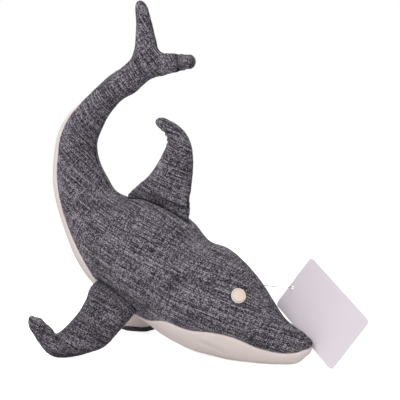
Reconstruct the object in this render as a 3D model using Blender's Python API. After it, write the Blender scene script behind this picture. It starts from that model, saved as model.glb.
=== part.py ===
"""Plush dolphin, sewn from woven grey and cream panels round a soft filling.

The toy stands on its throat and on the lower edges of its two pectoral fins, with its tail arched
up over its back. Its nose points along +X, its left side along +Y and up is +Z. The origin lies on
the surface that it stands on, under the middle of its bounding box. A paper hang tag is fastened to
the seam over its forehead. Sizes and places are in millimetres and become metres in the meshes.
"""

import math

import bmesh
import bpy
import numpy as np
from mathutils import Euler, Matrix, Vector
from mathutils.bvhtree import BVHTree

MM = 0.001

# Cloth, filling and the play between the pieces
PANEL_THICKNESS = 1.3
SEAM_GAP = 0.3
FILLING_GAP = 0.3
ROOT_GAP = 0.3

# Body: back edge (x, z), belly edge (x, z), half width, half angle of the belly panel in degrees
BODY = [
    ((126, 25), (125, 8.5), 9, 86),
    ((120.5, 30), (118.5, 2), 12.5, 81),
    ((111, 35), (108, -1), 16.5, 76.5),
    ((101, 42), (96, -2.5), 21, 76),
    ((91, 55), (81, -3), 27, 75),
    ((78, 73), (62, -3), 33, 77),
    ((63, 89), (40, 0), 39, 72),
    ((44, 100), (16, 4), 43, 64),
    ((25, 106), (-9, 14), 45, 62),
    ((10, 124), (-32, 27), 45, 42),
    ((-10, 136), (-59, 37), 44, 40),
    ((-33, 144), (-81, 52), 40, 52),
    ((-54, 144), (-100, 71), 34, 63),
    ((-70, 149), (-115, 102), 29, 60),
    ((-78, 161), (-125, 131), 25.5, 56),
    ((-84, 174), (-129, 156), 22.5, 58),
    ((-87, 187), (-128, 179), 20, 58),
    ((-86, 197), (-125, 201), 18, 54),
    ((-80, 211), (-115, 219), 16, 46),
    ((-73, 223), (-98, 235), 14, 28),
    ((-61, 236), (-80, 251), 13, 0),
    ((-46, 244), (-61, 264), 12, 0),
    ((-30, 254), (-52, 270), 11, 0),
    ((-21, 268), (-47, 275), 10, 0),
    ((-20, 281), (-44, 284), 9, 0),
    ((-23, 292), (-43, 293), 8.5, 0),
    ((-26, 304), (-42, 305), 8, 0),
    ((-29, 315), (-43, 316), 7, 0),
]
SNOUT_ROUNDING = 4.5
FLUKE_ROUNDING = 11
BELLY_PANEL_END = 19.6

# Lower fluke: lower edge (x, y, z), upper edge (x, y, z), half thickness. Its tip folds to the right
LOWER_FLUKE = [
    ((-47, 0, 251), (-41, 0, 267), 7),
    ((-27, 0, 254), (-23, 0, 279.5), 8.5),
    ((-14, 0, 258), (-13, 0, 279.5), 8),
    ((-4, 0, 261), (-5, 0, 278.5), 7.5),
    ((3, -1, 263), (3, -1, 278), 6.8),
    ((11, -6, 264), (11, -6, 278.5), 7),
    ((15.5, -14, 264), (15.5, -14, 278.5), 7),
    ((19, -22, 265), (19, -22, 277.5), 6),
]
LOWER_FLUKE_ROUNDING = 5

# Dorsal fin: front edge (x, y, z), back edge (x, y, z), half thickness
DORSAL_FIN = [
    ((6, 0, 106), (-48, 0, 118), 7),
    ((11, 0, 131), (-53, 0, 143), 7.5),
    ((11.5, 0, 138), (-50, 0, 149), 10),
    ((11, 0, 146), (-42, 0, 156), 12.5),
    ((13, 0, 160), (-30, 0, 166), 13),
    ((14, 0, 173), (-21, 0, 178), 12),
    ((14, 0, 184), (-15, 0, 188), 11),
    ((12, 0, 196), (-11.5, 0, 195.5), 10),
    ((6, 0, 207), (-11, 0, 201), 9),
    ((-3, 0, 214.5), (-14, 0, 206), 8),
    ((-13, 0, 219), (-19, 0, 210), 7),
]
DORSAL_FIN_ROUNDING = 7

# Right pectoral fin: trailing edge (x, y, z), leading edge (x, y, z), half thickness
PECTORAL_FIN = [
    ((-64, -16, 74), (-27, -16, 52), 9),
    ((-74, -33, 63), (-33, -33, 38), 12),
    ((-75, -43, 51), (-38, -43, 31), 12.5),
    ((-79, -49, 41), (-54, -49, 13), 12.5),
    ((-86, -54, 32), (-68, -54, 6), 12),
    ((-94, -57, 25), (-80, -57, 1), 11),
    ((-99, -60, 22), (-94, -60, -1), 10),
    ((-102, -62, 27), (-105, -62, 2), 9.5),
    ((-106, -65, 32), (-111, -65, 8.5), 9),
    ((-109, -68, 37), (-114, -68, 15), 8),
    ((-114, -71, 39), (-117, -71, 23), 6.5),
]
PECTORAL_FIN_ROUNDING = 7
PECTORAL_FIN_ROOT = (-50, 50)
LEFT_FIN_SWING = 9
LEFT_FIN_LEADING_SHIFT = (6, -4)
LEFT_FIN_SHIFT_ROWS = (2, 7)

# Eyes: a round patch with a sewn rim on each side of the head
EYE_AT = (69, 65)
EYE_RADIUS = 5.3
EYE_RIM_WIDTH = 1.2
EYE_RIM_GAP = 0.3
EYE_THICKNESS = 0.9
EYE_RIM_THICKNESS = 1.3

# Hang tag and the nylon pin that fastens it
TAG_CORNER = (149.2, -5.7, -0.9)
TAG_WIDTH = 58
TAG_LENGTH = 92
TAG_THICKNESS = 0.5
TAG_CORNER_RADIUS = 4
TAG_TURN = (-18.1, -59.3, -23.5)
TAG_HOLE_RADIUS = 1.5
TAG_HOLE_INSET = 4
TAG_HOLE_ACROSS = 24
PIN_DIAMETER = 0.6
PIN_START = 4.75
PIN_LEAD = 2.5
PIN_SAG = 0.8
PIN_TAIL = 3
PIN_BAR_LENGTH = 7
PIN_BAR_DIAMETER = 1.1

# How finely the soft forms are drawn
BODY_AROUND = 24
FIN_AROUND = 12
CAP_STEPS = (0.5, 0.85, 0.98)
BELLY_STEPS = 8
LEAST_BELLY = 12
JOIN_LAP = 0.15
SECTION_STEP = 0.01
SKIN_STEP = 0.004
SHARP_ANGLE = 40
ARC_STEPS = 5
EYE_AROUND = 16
EYE_CAST = 120
MERGE_DISTANCE = 1e-6
PIN_STEPS = 4
PIN_BEVEL_STEPS = 2

GREY = (0.13, 0.12, 0.135)
CREAM = (0.67, 0.6, 0.59)
EYE_CREAM = (0.84, 0.72, 0.6)
WHITE = (0.9, 0.88, 0.86)
PAPER_WHITE = (0.73, 0.66, 0.72)
NYLON = (0.85, 0.85, 0.85)
CLOTH_ROUGHNESS = 0.9
PAPER_ROUGHNESS = 0.6
NYLON_ROUGHNESS = 0.3


def catmull_rom(rows, place):
    """The row at a place along the list, on a smooth curve through every row."""
    last = len(rows) - 1
    index = int(min(max(math.floor(place), 0), last - 1))
    t = place - index
    before = rows[index - 1] if index > 0 else 2 * rows[0] - rows[1]
    after = rows[index + 2] if index + 2 <= last else 2 * rows[last] - rows[last - 1]
    start, end = rows[index], rows[index + 1]
    return 0.5 * (
        2 * start
        + (end - before) * t
        + (2 * before - 5 * start + 4 * end - after) * t**2
        + (3 * start - before - 3 * end + after) * t**3
    )


def unit(vector):
    return vector / np.linalg.norm(vector)


class SoftForm:
    """A stuffed form drawn through sections, each two edge points and a half thickness.

    A place along it is counted in sections; a round end takes up one more place beyond the last
    section. The angle round it is 0 at the belly or leading edge and pi at the back edge, and the
    right side lies between them.
    """

    def __init__(self, sections, start_rounding=0, end_rounding=0, seam_gap=SEAM_GAP):
        rows = []
        for back, belly, half_thickness, *belly_angle in sections:
            back = back if len(back) == 3 else (back[0], 0, back[1])
            belly = belly if len(belly) == 3 else (belly[0], 0, belly[1])
            rows.append([*back, *belly, half_thickness, math.radians(sum(belly_angle))])
        self.rows = np.array(rows, float)
        self.last = len(rows) - 1
        self.start_rounding = start_rounding
        self.end_rounding = end_rounding
        self.seam_gap = seam_gap

    def middle(self, place):
        row = catmull_rom(self.rows, place)
        return (row[:3] + row[3:6]) / 2

    def belly_angle(self, place):
        return max(catmull_rom(self.rows, min(max(place, 0), self.last))[7], 0)

    def frame(self, place):
        """Middle, half chord towards the back edge, sideways direction and half thickness."""
        inner = min(max(place, 0), self.last)
        row = catmull_rom(self.rows, inner)
        low, high = max(inner - SECTION_STEP, 0), min(inner + SECTION_STEP, self.last)
        along = unit(self.middle(high) - self.middle(low))
        chord = (row[:3] - row[3:6]) / 2
        sideways = unit(np.cross(chord, along))
        past = place - inner
        rounding = self.start_rounding if past < 0 else self.end_rounding
        shrink = math.sqrt(max(1 - past**2, 0))
        middle = (row[:3] + row[3:6]) / 2 + along * rounding * past
        return middle, chord * shrink, sideways, row[6] * shrink

    def skin_point(self, place, angle):
        middle, chord, sideways, half_thickness = self.frame(place)
        return middle - chord * math.cos(angle) + sideways * half_thickness * math.sin(angle)

    def point(self, place, angle, depth=0.0):
        """A point under the skin by this depth, flattened where the form rests on its surface."""
        before = self.skin_point(place - SKIN_STEP, angle)
        along_it = self.skin_point(place + SKIN_STEP, angle) - before
        round_it = self.round_step(place, angle, SKIN_STEP)
        spot = self.skin_point(place, angle) - unit(np.cross(round_it, along_it)) * depth
        spot[2] = max(spot[2], depth)
        return spot

    def seam_angle(self, place, angle):
        """Half the seam gap as an angle, at one point."""
        reach = np.linalg.norm(self.round_step(place, angle, SECTION_STEP))
        return self.seam_gap * SECTION_STEP / reach

    def round_step(self, place, angle, step):
        return self.skin_point(place, angle + step) - self.skin_point(place, angle - step)

    def places(self, end=None):
        """Places for the rings: the sections and the round ends, as far as an early end."""
        found = list(range(self.last + 1))
        if self.start_rounding:
            found = [-step for step in reversed(CAP_STEPS)] + found
        if self.end_rounding:
            found = found + [self.last + step for step in CAP_STEPS]
        if end is not None:
            found = [place for place in found if place < end] + [end]
        return found


def left_fin(sections):
    """The right fin's sections on the other side, swung forward about the fin's root.

    The leading edge also reaches further forward and down near the root.
    """
    swing = math.radians(LEFT_FIN_SWING)
    root_x, root_z = PECTORAL_FIN_ROOT
    forward, up = LEFT_FIN_LEADING_SHIFT
    full_row, last_row = LEFT_FIN_SHIFT_ROWS

    def across(spot, share):
        x, y, z = spot[0] - root_x, spot[1], spot[2] - root_z
        turned_x = x * math.cos(swing) - z * math.sin(swing)
        turned_z = x * math.sin(swing) + z * math.cos(swing)
        return (root_x + turned_x + forward * share, -y, root_z + turned_z + up * share)

    fin = []
    for row, (trailing, leading, half_thickness) in enumerate(sections):
        share = min(max((last_row - row) / (last_row - full_row), 0), 1)
        fin.append((across(trailing, 0), across(leading, share), half_thickness))
    return fin


def new_object(name, bm, collection, color, roughness):
    mesh = bpy.data.meshes.new(name)
    bm.to_mesh(mesh)
    bm.free()
    mesh.shade_smooth()
    mesh.set_sharp_from_angle(angle=math.radians(SHARP_ANGLE))
    mesh.materials.append(material(name, color, roughness))
    obj = bpy.data.objects.new(name, mesh)
    collection.objects.link(obj)
    return obj


def material(name, color, roughness):
    made = bpy.data.materials.new(name)
    made.use_nodes = True
    shader = made.node_tree.nodes["Principled BSDF"]
    shader.inputs["Base Color"].default_value = (*color, 1)
    shader.inputs["Roughness"].default_value = roughness
    return made


def ring_mesh(rows, outer_count):
    """Rings of points joined by triangles. Past outer_count the ring runs back along the inner face.

    The diagonals there turn with it, so that facing surfaces bend along the same lines.
    """
    bm = bmesh.new()
    verts = [[bm.verts.new(Vector(spot) * MM) for spot in row] for row in rows]
    count = len(verts[0])
    for lower, upper in zip(verts, verts[1:]):
        for k in range(count):
            n = (k + 1) % count
            if k < outer_count:
                bm.faces.new((lower[k], upper[k], upper[n]))
                bm.faces.new((lower[k], upper[n], lower[n]))
            else:
                bm.faces.new((lower[k], upper[k], lower[n]))
                bm.faces.new((upper[k], upper[n], lower[n]))
    return bm, verts


def closed_form(form, depth, around):
    """The form as one closed solid, its surface this far under the skin."""
    rows = []
    for place in form.places():
        angles = ring_angles(form, place, around)
        rows.append([form.point(place, angle, depth) for angle in angles])
    bm, verts = ring_mesh(rows, len(rows[0]))
    bm.faces.new(verts[0])
    bm.faces.new(list(reversed(verts[-1])))
    bmesh.ops.recalc_face_normals(bm, faces=bm.faces)
    return bm


def side_columns(form, place, around):
    """Where the columns of one side start, and how many there are."""
    if not form.rows[:, 7].any():
        return 0, around // 2
    return max(form.belly_angle(place), math.radians(LEAST_BELLY)), (around - BELLY_STEPS) // 2


def ring_angles(form, place, around):
    """Angles round a closed ring, which line up with the columns of the panels over it."""
    belly, columns = side_columns(form, place, around)
    right = [belly + (math.pi - belly) * k / columns for k in range(columns)]
    left = [2 * math.pi - angle for angle in [math.pi] + right[:0:-1]]
    if not belly:
        return right + left
    under = [belly * (2 * k / BELLY_STEPS - 1) for k in range(BELLY_STEPS)]
    return right + left + under


def panel(form, angles_at, end=None):
    """A cloth panel with its own thickness, over the angles that it covers at each place."""
    rows = []
    for place in form.places(end):
        angles = angles_at(place)
        outer = [form.point(place, angle, 0) for angle in angles]
        inner = [form.point(place, angle, PANEL_THICKNESS) for angle in reversed(angles)]
        rows.append(outer + inner)
    columns = len(rows[0]) // 2 - 1
    bm, verts = ring_mesh(rows, columns)
    for ring in (verts[0], verts[-1]):
        for k in range(columns):
            bm.faces.new((ring[k], ring[k + 1], ring[-2 - k], ring[-1 - k]))
    bmesh.ops.recalc_face_normals(bm, faces=bm.faces)
    return bm


def side_panel(form, side, around):
    """The panel of one side, from the belly seam or leading edge up to the back seam."""

    def angles_at(place):
        edge = form.belly_angle(place)
        gap = form.seam_angle(place, edge)
        belly, columns = side_columns(form, place, around)
        angles = [max(belly + (math.pi - belly) * k / columns, edge + 2 * gap) for k in range(columns)]
        angles = [edge + gap] + angles + [math.pi - form.seam_angle(place, math.pi)]
        return angles if side > 0 else [-angle for angle in reversed(angles)]

    return panel(form, angles_at)


def belly_panel(form):
    def angles_at(place):
        edge = form.belly_angle(place)
        edge -= form.seam_angle(place, edge)
        return [edge * (2 * k / BELLY_STEPS - 1) for k in range(BELLY_STEPS + 1)]

    return panel(form, angles_at, BELLY_PANEL_END)


def boolean(obj, other, operation):
    modifier = obj.modifiers.new(f"{operation.lower()} {other.name}", "BOOLEAN")
    modifier.operation = operation
    modifier.solver = "EXACT"
    modifier.object = other


def make_cutter(name, bm, cutters):
    obj = new_object(name, bm, cutters, WHITE, CLOTH_ROUGHNESS)
    obj.hide_render = True
    obj.display_type = "WIRE"
    return obj


def build_body(parts, cutters):
    """Two side panels that run on into the flukes, the belly panel, and the filling inside them."""
    body = SoftForm(BODY, SNOUT_ROUNDING, FLUKE_ROUNDING)
    fluke = SoftForm(LOWER_FLUKE, 0, LOWER_FLUKE_ROUNDING, SEAM_GAP + 2 * JOIN_LAP)
    room = PANEL_THICKNESS - JOIN_LAP
    body_room = make_cutter("body_room", closed_form(body, room, BODY_AROUND), cutters)
    fluke_room = make_cutter("fluke_room", closed_form(fluke, room, FIN_AROUND), cutters)
    for name, side in (("right", 1), ("left", -1)):
        fluke_half = make_cutter(
            f"fluke_half_{name}", side_panel(fluke, side, FIN_AROUND), cutters
        )
        boolean(fluke_half, body_room, "DIFFERENCE")
        half = new_object(
            f"side_panel_{name}", side_panel(body, side, BODY_AROUND), parts, GREY, CLOTH_ROUGHNESS
        )
        boolean(half, fluke_room, "DIFFERENCE")
        boolean(half, fluke_half, "UNION")
    new_object("belly_panel", belly_panel(body), parts, CREAM, CLOTH_ROUGHNESS)
    inside = PANEL_THICKNESS + FILLING_GAP
    filling = new_object(
        "body_filling", closed_form(body, inside, BODY_AROUND), parts, WHITE, CLOTH_ROUGHNESS
    )
    fluke_filling = make_cutter("fluke_filling", closed_form(fluke, inside, FIN_AROUND), cutters)
    boolean(filling, fluke_filling, "UNION")
    return body


def panel_color(panel_name):
    """The pectoral fins are cream on the side that faces the body."""
    return CREAM if panel_name == "inner" else GREY


def build_fin(name, panel_names, sections, rounding, body_with_room, parts):
    """Two panels sewn together round a filling, cut off where the fin meets the body.

    The first panel is the one that faces the right side, the second faces the left.
    """
    fin = SoftForm(sections, 0, rounding)
    pieces = [
        (f"{name}_{panel_name}", side_panel(fin, side, FIN_AROUND), panel_color(panel_name))
        for panel_name, side in zip(panel_names, (1, -1))
    ]
    filling = closed_form(fin, PANEL_THICKNESS + FILLING_GAP, FIN_AROUND)
    pieces.append((f"{name}_filling", filling, WHITE))
    for piece_name, bm, color in pieces:
        piece = new_object(piece_name, bm, parts, color, CLOTH_ROUGHNESS)
        boolean(piece, body_with_room, "DIFFERENCE")


def body_surface(body):
    """The body's skin, to seat small pieces on."""
    bm = closed_form(body, 0, BODY_AROUND)
    bmesh.ops.triangulate(bm, faces=bm.faces)
    surface = BVHTree.FromBMesh(bm)
    bm.free()
    return surface


def disc_on_surface(surface, middle, direction, radii, gap, thickness):
    """A round patch or ring that follows the surface; a first radius of 0 makes it a full patch."""
    across = direction.orthogonal().normalized()
    up = direction.cross(across)
    lower, upper = [], []
    for radius in radii:
        for lift, rows in ((gap, lower), (gap + thickness, upper)):
            row = []
            for step in range(EYE_AROUND):
                turn = 2 * math.pi * step / EYE_AROUND
                spot = middle + (across * math.cos(turn) + up * math.sin(turn)) * radius * MM
                hit = surface.ray_cast(spot + direction * EYE_CAST * MM, -direction)[0]
                row.append(hit / MM + direction * lift)
            rows.append(row)
    if radii[0] == 0:
        bm, verts = ring_mesh(lower[1:] + upper[:0:-1], EYE_AROUND)
        for ring, rows in ((verts[0], lower), (verts[-1], upper)):
            centre = bm.verts.new(rows[0][0] * MM)
            for k in range(EYE_AROUND):
                bm.faces.new((ring[k], ring[(k + 1) % EYE_AROUND], centre))
    else:
        bm, _ = ring_mesh(lower + upper[::-1] + lower[:1], EYE_AROUND)
        bmesh.ops.remove_doubles(bm, verts=bm.verts, dist=MERGE_DISTANCE)
    bmesh.ops.recalc_face_normals(bm, faces=bm.faces)
    return bm


def build_eyes(body, parts):
    surface = body_surface(body)
    x, z = EYE_AT
    rim_inside = EYE_RADIUS + EYE_RIM_GAP
    for name, side in (("right", -1), ("left", 1)):
        start = Vector((x, side * EYE_CAST, z)) * MM
        middle, normal, _, _ = surface.ray_cast(start, Vector((0, -side, 0)))
        patch = disc_on_surface(
            surface, middle, normal, (0, EYE_RADIUS / 2, EYE_RADIUS), ROOT_GAP, EYE_THICKNESS
        )
        new_object(f"eye_patch_{name}", patch, parts, EYE_CREAM, CLOTH_ROUGHNESS)
        rim = disc_on_surface(
            surface,
            middle,
            normal,
            (rim_inside, rim_inside + EYE_RIM_WIDTH),
            ROOT_GAP,
            EYE_RIM_THICKNESS,
        )
        new_object(f"eye_rim_{name}", rim, parts, WHITE, CLOTH_ROUGHNESS)


def tag_matrix():
    lean, spin, yaw = (math.radians(angle) for angle in TAG_TURN)
    turn = Euler((0, 0, yaw)).to_matrix() @ Euler((lean, 0, 0)).to_matrix()
    turn = turn @ Euler((0, spin, 0)).to_matrix()
    return Matrix.Translation(Vector(TAG_CORNER) * MM) @ turn.to_4x4()


def build_tag(parts):
    """A card with round corners and one punched hole, on edge in front of the snout."""
    curve = bpy.data.curves.new("hang_tag", "CURVE")
    curve.dimensions = "2D"
    curve.fill_mode = "BOTH"
    curve.extrude = TAG_THICKNESS / 2 * MM
    outline = []
    corners = (
        (TAG_WIDTH, TAG_LENGTH, 0),
        (0, TAG_LENGTH, 90),
        (0, 0, 180),
        (TAG_WIDTH, 0, 270),
    )
    for x, y, first in corners:
        centre_x = min(max(x, TAG_CORNER_RADIUS), TAG_WIDTH - TAG_CORNER_RADIUS)
        centre_y = min(max(y, TAG_CORNER_RADIUS), TAG_LENGTH - TAG_CORNER_RADIUS)
        for step in range(ARC_STEPS + 1):
            turn = math.radians(first + 90 * step / ARC_STEPS)
            outline.append(
                (
                    centre_x + TAG_CORNER_RADIUS * math.cos(turn),
                    centre_y + TAG_CORNER_RADIUS * math.sin(turn),
                )
            )
    hole = []
    for step in range(4 * ARC_STEPS):
        turn = math.pi / 2 * step / ARC_STEPS
        hole.append(
            (
                TAG_HOLE_ACROSS + TAG_HOLE_RADIUS * math.cos(turn),
                TAG_LENGTH - TAG_HOLE_INSET + TAG_HOLE_RADIUS * math.sin(turn),
            )
        )
    for points in (outline, hole):
        add_spline(curve, [(x, y, 0) for x, y in points], cyclic=True)
    curve.materials.append(material("hang_tag", PAPER_WHITE, PAPER_ROUGHNESS))
    tag = bpy.data.objects.new("hang_tag", curve)
    tag.matrix_world = tag_matrix() @ Euler((math.pi / 2, 0, 0)).to_matrix().to_4x4()
    parts.objects.link(tag)


def add_spline(curve, points, cyclic=False):
    spline = curve.splines.new("POLY")
    spline.points.add(len(points) - 1)
    spline.use_cyclic_u = cyclic
    for point, spot in zip(spline.points, points):
        point.co = (*(Vector(spot) * MM), 1)


def round_bar(name, points, diameter, parts, color, roughness):
    """A tube with closed ends along these points, in millimetres."""
    curve = bpy.data.curves.new(name, "CURVE")
    curve.dimensions = "3D"
    curve.bevel_depth = diameter / 2 * MM
    curve.bevel_resolution = PIN_BEVEL_STEPS
    curve.use_fill_caps = True
    add_spline(curve, points)
    curve.materials.append(material(name, color, roughness))
    obj = bpy.data.objects.new(name, curve)
    parts.objects.link(obj)


def pin_route(body):
    """From the back seam over the forehead, in a shallow sag, and through the tag's hole."""
    skin = body.skin_point(PIN_START, math.pi)
    outward = unit(skin - body.point(PIN_START, math.pi, 1))
    start = skin + outward * ROOT_GAP
    frame = tag_matrix()
    hole_at = Vector((TAG_HOLE_ACROSS, 0, TAG_LENGTH - TAG_HOLE_INSET))
    hole = np.array(frame @ (hole_at * MM)) / MM
    through = np.array((frame.to_3x3() @ Vector((0, 1, 0))).normalized())
    rows = np.array(
        [
            start,
            start + outward * PIN_LEAD,
            (start + outward * PIN_LEAD + hole - through * PIN_TAIL) / 2 - [0, 0, PIN_SAG],
            hole - through * PIN_TAIL,
            hole,
            hole + through * PIN_TAIL,
        ]
    )
    steps = PIN_STEPS * (len(rows) - 1)
    return [catmull_rom(rows, step / PIN_STEPS) for step in range(steps + 1)], through, frame


def build_pin(body, parts):
    route, through, frame = pin_route(body)
    round_bar("tag_pin", route, PIN_DIAMETER, parts, NYLON, NYLON_ROUGHNESS)
    along = np.array((frame.to_3x3() @ Vector((1, 0, 0))).normalized())
    middle = route[-1] + through * (SEAM_GAP + PIN_BAR_DIAMETER / 2)
    half = along * PIN_BAR_LENGTH / 2
    ends = [middle - half, middle + half]
    round_bar("tag_pin_bar", ends, PIN_BAR_DIAMETER, parts, NYLON, NYLON_ROUGHNESS)


def make_collection(name):
    collection = bpy.data.collections.new(name)
    bpy.context.scene.collection.children.link(collection)
    return collection


def main():
    for obj in list(bpy.data.objects):
        bpy.data.objects.remove(obj, do_unlink=True)
    parts = make_collection("plush_dolphin")
    cutters = make_collection("cutters")
    body = build_body(parts, cutters)
    body_with_room = make_cutter("body_with_room", closed_form(body, -ROOT_GAP, BODY_AROUND), cutters)
    fins = (
        ("dorsal_fin", ("right", "left"), DORSAL_FIN, DORSAL_FIN_ROUNDING),
        ("right_pectoral", ("outer", "inner"), PECTORAL_FIN, PECTORAL_FIN_ROUNDING),
        ("left_pectoral", ("inner", "outer"), left_fin(PECTORAL_FIN), PECTORAL_FIN_ROUNDING),
    )
    for name, panel_names, sections, rounding in fins:
        build_fin(name, panel_names, sections, rounding, body_with_room, parts)
    build_eyes(body, parts)
    build_tag(parts)
    build_pin(body, parts)


main()
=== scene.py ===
"""Looks of the plush dolphin: woven panels with their seams and folds, stitched eyes, tag and pin.

The soft forms are drawn finely from sections like the CAD's, some moved by 1 to 2 mm to follow the
photograph. Sizes and places are in millimetres, and become metres where a mesh is made.
"""

import math

import bmesh
import bpy
import numpy as np
from mathutils import Euler, Matrix, Vector, noise
from mathutils.bvhtree import BVHTree
from mathutils.kdtree import KDTree

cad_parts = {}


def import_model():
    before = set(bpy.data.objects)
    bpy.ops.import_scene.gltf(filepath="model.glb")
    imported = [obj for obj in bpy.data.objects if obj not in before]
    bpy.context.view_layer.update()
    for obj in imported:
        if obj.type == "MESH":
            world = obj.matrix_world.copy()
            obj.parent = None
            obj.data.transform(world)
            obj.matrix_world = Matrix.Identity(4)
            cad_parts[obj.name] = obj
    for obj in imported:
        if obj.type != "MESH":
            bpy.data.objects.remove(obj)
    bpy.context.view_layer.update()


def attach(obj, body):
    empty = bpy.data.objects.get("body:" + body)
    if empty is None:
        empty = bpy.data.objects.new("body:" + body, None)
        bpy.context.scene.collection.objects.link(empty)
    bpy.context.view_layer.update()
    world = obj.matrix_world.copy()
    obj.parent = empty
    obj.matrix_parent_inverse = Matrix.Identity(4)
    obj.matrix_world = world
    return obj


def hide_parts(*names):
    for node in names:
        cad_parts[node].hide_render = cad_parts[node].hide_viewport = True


MM = 0.001
TINY = 1e-6
TINY_AREA = 1e-9
FAR = 99.0
WHITE = (1, 1, 1, 1)

# Camera at the photograph's angle
CAMERA_AZIMUTH = 22
CAMERA_ELEVATION = 8
CAMERA_DISTANCE = 1.0
CAMERA_TARGET = (0.021, 0, 0.145)
CAMERA_LENS = 97.83
CAMERA_SENSOR = 36

# Lamps: name, place, size and power. The world adds even light from all sides
LAMPS = (
    ("key", (-0.35, -0.7, 1.7), 1.3, 9),
    ("front", (0.05, -1.2, 0.95), 1.2, 11.5),
    ("back", (0.2, 1.4, 1.2), 1.2, 5),
)
LAMP_TARGET = (0, 0, 0.12)
WORLD_LIGHT = 0.45

# Floor in metres: half its width, how far it lies under the object and where it fades out
FLOOR_REACH = 3
FLOOR_DROP = 0.0004
FLOOR_FADE = (0.45, 0.8)
FLOOR_GREY = 0.8
FLOOR_GLOW = 0.8

# Body: back edge (x, z), belly edge (x, z), half width, half angle of the belly panel in degrees
BODY = [
    ((126, 25), (125, 8.5), 9, 86),
    ((120.5, 30), (118.5, 2), 12.5, 81),
    ((111, 35), (108, -1), 16.5, 76.5),
    ((101, 42), (96, -2.5), 21, 76),
    ((91, 55), (81, -3), 27, 75),
    ((78, 73), (62, -3), 33, 77),
    ((63, 89), (40, 0), 39, 72),
    ((45, 101.5), (16, 4), 43, 64),
    ((25.5, 107.5), (-9, 14), 45, 60),
    ((10, 124), (-32, 27), 45, 32),
    ((-10, 136), (-58.5, 38.5), 44, 33),
    ((-33, 144), (-79.7, 53.5), 40, 44),
    ((-54, 144), (-98.7, 72.3), 34, 57),
    ((-68.5, 149.5), (-114.5, 102.5), 29, 57),
    ((-76.5, 161.5), (-125, 131), 25.5, 56),
    ((-83, 174), (-130, 156), 22.5, 58),
    ((-86.2, 187), (-129, 179), 20, 58),
    ((-85, 196.5), (-125, 201), 18, 54),
    ((-78.5, 210), (-115, 219), 16, 46),
    ((-71.5, 221.5), (-98, 235), 14, 28),
    ((-59.5, 234), (-80, 251), 13, 0),
    ((-44.5, 242), (-61, 264), 12, 0),
    ((-30, 253), (-52, 270), 11, 0),
    ((-21, 268), (-47, 275), 10, 0),
    ((-20, 281), (-44, 284), 9, 0),
    ((-23, 292), (-43, 293), 8.5, 0),
    ((-26, 304), (-42, 305), 8, 0),
    ((-29, 315), (-43, 316), 7, 0),
]
SNOUT_ROUNDING = 4.5
FLUKE_ROUNDING = 12.5
FLUKE_START = 20

# Lower fluke: lower edge (x, y, z), upper edge (x, y, z), half thickness. Its tip folds to the right
LOWER_FLUKE = [
    ((-47, 0, 251), (-41, 0, 267), 7),
    ((-27, 0, 254), (-23, 0, 279.5), 8.5),
    ((-14, 0, 258), (-13, 0, 279.5), 8),
    ((-4, 0, 261), (-5, 0, 278.5), 7.5),
    ((3, -1, 263), (3, -1, 278), 6.8),
    ((11, -6, 264), (11, -6, 278.5), 7),
    ((15.5, -14, 264), (15.5, -14, 278.5), 7),
    ((19, -22, 265), (19, -22, 277.5), 6),
]
LOWER_FLUKE_ROUNDING = 5

# Dorsal fin: front edge (x, y, z), back edge (x, y, z), half thickness
DORSAL_FIN = [
    ((6, 0, 106), (-48, 0, 118), 7),
    ((11, 0, 131), (-53, 0, 143), 7.5),
    ((11.5, 0, 138), (-50, 0, 149), 10),
    ((11, 0, 146), (-42, 0, 156), 12.5),
    ((13, 0, 160), (-30, 0, 166), 13),
    ((14, 0, 173), (-21, 0, 178), 12),
    ((14, 0, 184), (-15, 0, 188), 11),
    ((12, 0, 196), (-11.5, 0, 195.5), 10),
    ((6, 0, 207), (-11, 0, 201), 9),
    ((-3, 0, 214.5), (-14, 0, 206), 8),
    ((-13, 0, 219), (-19, 0, 210), 7),
]
DORSAL_FIN_ROUNDING = 7

# Right pectoral fin: trailing edge (x, y, z), leading edge (x, y, z), half thickness
PECTORAL_FIN = [
    ((-64, -16, 74), (-27, -16, 52), 9),
    ((-75, -33, 63.5), (-33, -33, 38), 12),
    ((-76.3, -43, 51.5), (-37.5, -43, 30), 12.5),
    ((-80.3, -49, 41.7), (-53, -49, 11.5), 12.5),
    ((-86.6, -54, 32.7), (-67, -54, 4.8), 12),
    ((-94, -57, 25), (-80, -57, 1), 11),
    ((-99, -60, 22), (-94, -60, -1), 10),
    ((-102, -62, 27), (-105, -62, 2), 9.5),
    ((-106, -65, 32), (-111, -65, 8.5), 9),
    ((-109, -68, 37), (-114, -68, 15), 8),
    ((-114, -71, 39), (-117, -71, 23), 6.5),
]
PECTORAL_FIN_ROUNDING = 7
PECTORAL_FIN_ROOT = (-50, 50)
LEFT_FIN_SWING = 9
LEFT_FIN_LEADING_SHIFT = (6, -4)
LEFT_FIN_SHIFT_ROWS = (2, 7)

# Eyes: round patches at (x, z), with the rings of a patch as radius and height, and its middles
EYE_AT = (69, 65)
EYE_CAST = 120
EYE_AROUND = 48
EYE_PATCH = ((5.45, -0.2), (5.45, 1.0), (5.3, 1.15), (4.5, 1.22), (3, 1.25), (1.5, 1.25))
EYE_PATCH_MIDDLES = (1.25, -0.2)
EYE_FLAT_REACH = (9, 14)

# Satin-stitched rim of an eye, and how its stitches bulge, waver and slant
EYE_RIM_RADIUS = 6.2
EYE_RIM_WIDTH = 1.2
EYE_RIM_HEIGHT = 1.5
EYE_RIM_SUNK = 0.12
EYE_RIM_SIDES = 10
EYE_STITCHES = 64
STITCH_STEPS = 6
STITCH_BULGE = 0.18
STITCH_WAVER = 0.25
STITCH_WAVES = 5
STITCH_SLANT = 0.02

# Hang tag: the corner it stands on, its lean, spin and yaw, and the place of its hole
TAG_CORNER = (149.2, -5.7, -0.9)
TAG_TURN = (-18.1, -59.3, -23.5)
TAG_HOLE = (24, 0, 88)

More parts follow.
